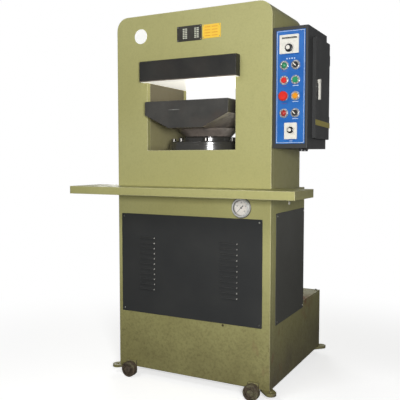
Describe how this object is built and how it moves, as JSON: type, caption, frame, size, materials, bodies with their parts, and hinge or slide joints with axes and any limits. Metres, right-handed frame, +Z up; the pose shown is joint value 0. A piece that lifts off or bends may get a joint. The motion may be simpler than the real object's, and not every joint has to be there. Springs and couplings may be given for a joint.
{
  "type": "hydraulic press",
  "caption": "Upright box-frame moulding press with a rising ram table under a fixed platen, a lower pump cabinet, a work shelf, an oil tank and a side control box on wheels.",
  "frame": {"origin": "on the ram axis at floor level", "axes": "+Z up along the ram, front of the press towards -Y"},
  "size_m": [1.1493, 0.977, 1.745],
  "materials": {
    "olive_paint": "satin enamel, scuffed low down",
    "black_paint": "oily black paint on machined steel",
    "cover_black": "satin black sheet",
    "rusty_iron": "rusted bare iron",
    "chrome": "bright plating",
    "white_plastic": "plain",
    "clear_lens": "clear",
    "black_plastic": "moulded",
    "bright_steel": "turned and ground",
    "seal_rubber": "smooth",
    "motor_paint": "gloss enamel",
    "cast_alloy": "cast",
    "cast_iron": "cast",
    "blue_panel": "printed blue sheet",
    "lamp_lens": "translucent lens",
    "red_plastic": "moulded",
    "green_plastic": "moulded",
    "yellow_plastic": "moulded"
  },
  "bodies": {
    "frame": {"front_plate": "olive_paint", "rear_plate": "olive_paint", "side_shell": "olive_paint", "column_liners": "olive_paint", "bed_plate": "olive_paint", "crown_plate": "olive_paint", "upper_platen": "black_paint", "base_floor": "olive_paint", "side_panels": "olive_paint", "rear_panel": "olive_paint", "front_cover": "cover_black", "side_covers": "cover_black", "shelf": "olive_paint", "oil_tank": "olive_paint", "tank_lid": "olive_paint", "filler_cap": "chrome", "foot_lugs": "olive_paint", "axle_stubs": "rusty_iron", "axle_caps": "rusty_iron", "gauge_case": "chrome", "gauge_dial": "white_plastic", "gauge_lens": "clear_lens", "cylinder_body": "black_paint", "cylinder_head": "black_paint", "head_bolts": "bright_steel", "wiper_ring": "seal_rubber", "motor": "motor_paint", "bell_housing": "cast_alloy", "pump": "cast_iron", "valve_block": "bright_steel", "solenoid_valve": "black_plastic", "oil_pipes": "bright_steel", "control_box": "cover_black", "control_panel": "blue_panel", "controller_case": "white_plastic", "timer_case": "white_plastic", "button_rings": "chrome", "switch_blocks": "black_plastic", "panel_lamps": "lamp_lens", "back_plate": "bright_steel", "contactors": "black_plastic", "box_glands": "black_plastic", "door_hinges": "bright_steel"},
    "ram_lift": {"ram": "bright_steel", "ram_table": "black_paint"},
    "needle": {"gauge_needle": "black_plastic"},
    "door": {"box_door": "cover_black"},
    "handle": {"door_handle": "white_plastic"},
    "controller_dial": {"controller_knob": "black_plastic"},
    "timer_dial": {"timer_knob": "black_plastic"},
    "selector_a": {"upper_selector": "black_plastic"},
    "selector_b": {"lower_selector": "black_plastic"},
    "red_push": {"red_button": "red_plastic"},
    "green_push": {"green_button": "green_plastic"},
    "yellow_push": {"yellow_button": "yellow_plastic"},
    "stop_push": {"stop_button": "red_plastic"},
    "wheel_fl": {"wheel_front_left": "rusty_iron"},
    "wheel_fr": {"wheel_front_right": "rusty_iron"},
    "wheel_rl": {"wheel_rear_left": "rusty_iron"},
    "wheel_rr": {"wheel_rear_right": "rusty_iron"}
  },
  "joints": [
    {"name": "ram_slide", "type": "slide", "parent": "frame", "child": "ram_lift", "axis": [0, 0, 1], "range_m": [0, 0.094]},
    {"name": "needle_turn", "type": "hinge", "parent": "frame", "child": "needle", "pos_m": [0.261, -0.19, 0.853], "axis": [0, 1, 0], "range_deg": [0, 270]},
    {"name": "door_swing", "type": "hinge", "parent": "frame", "child": "door", "pos_m": [0.564, 0.096, 1.3705], "axis": [0, 0, 1], "range_deg": [0, 110]},
    {"name": "handle_turn", "type": "hinge", "parent": "door", "child": "handle", "pos_m": [0.572, -0.09219, 1.40053], "axis": [1, 0, 0], "range_deg": [0, 90]},
    {"name": "controller_turn", "type": "hinge", "parent": "frame", "child": "controller_dial", "pos_m": [0.47604, -0.187, 1.53339], "axis": [0, 1, 0], "range_deg": [-135, 135]},
    {"name": "timer_turn", "type": "hinge", "parent": "frame", "child": "timer_dial", "pos_m": [0.4855, -0.187, 1.19054], "axis": [0, 1, 0], "range_deg": [-135, 135]},
    {"name": "selector_a_turn", "type": "hinge", "parent": "frame", "child": "selector_a", "pos_m": [0.50398, -0.187, 1.46248], "axis": [0, 1, 0], "range_deg": [0, 90]},
    {"name": "selector_b_turn", "type": "hinge", "parent": "frame", "child": "selector_b", "pos_m": [0.50398, -0.187, 1.26245], "axis": [0, 1, 0], "range_deg": [0, 90]},
    {"name": "red_press", "type": "slide", "parent": "frame", "child": "red_push", "axis": [0, 1, 0], "range_m": [0, 0.004], "stiffness_N_per_m": 400},
    {"name": "green_press", "type": "slide", "parent": "frame", "child": "green_push", "axis": [0, 1, 0], "range_m": [0, 0.004], "stiffness_N_per_m": 400},
    {"name": "yellow_press", "type": "slide", "parent": "frame", "child": "yellow_push", "axis": [0, 1, 0], "range_m": [0, 0.004], "stiffness_N_per_m": 400},
    {"name": "stop_press", "type": "slide", "parent": "frame", "child": "stop_push", "axis": [0, 1, 0], "range_m": [0, 0.005], "stiffness_N_per_m": 400},
    {"name": "wheel_fl_roll", "type": "hinge", "parent": "frame", "child": "wheel_fl", "pos_m": [-0.325, -0.19, 0.037], "axis": [0, 1, 0], "continuous": true},
    {"name": "wheel_fr_roll", "type": "hinge", "parent": "frame", "child": "wheel_fr", "pos_m": [0.325, -0.19, 0.037], "axis": [0, 1, 0], "continuous": true},
    {"name": "wheel_rl_roll", "type": "hinge", "parent": "frame", "child": "wheel_rl", "pos_m": [-0.325, 0.56, 0.037], "axis": [0, 1, 0], "continuous": true},
    {"name": "wheel_rr_roll", "type": "hinge", "parent": "frame", "child": "wheel_rr", "pos_m": [0.325, 0.56, 0.037], "axis": [0, 1, 0], "continuous": true}
  ]
}
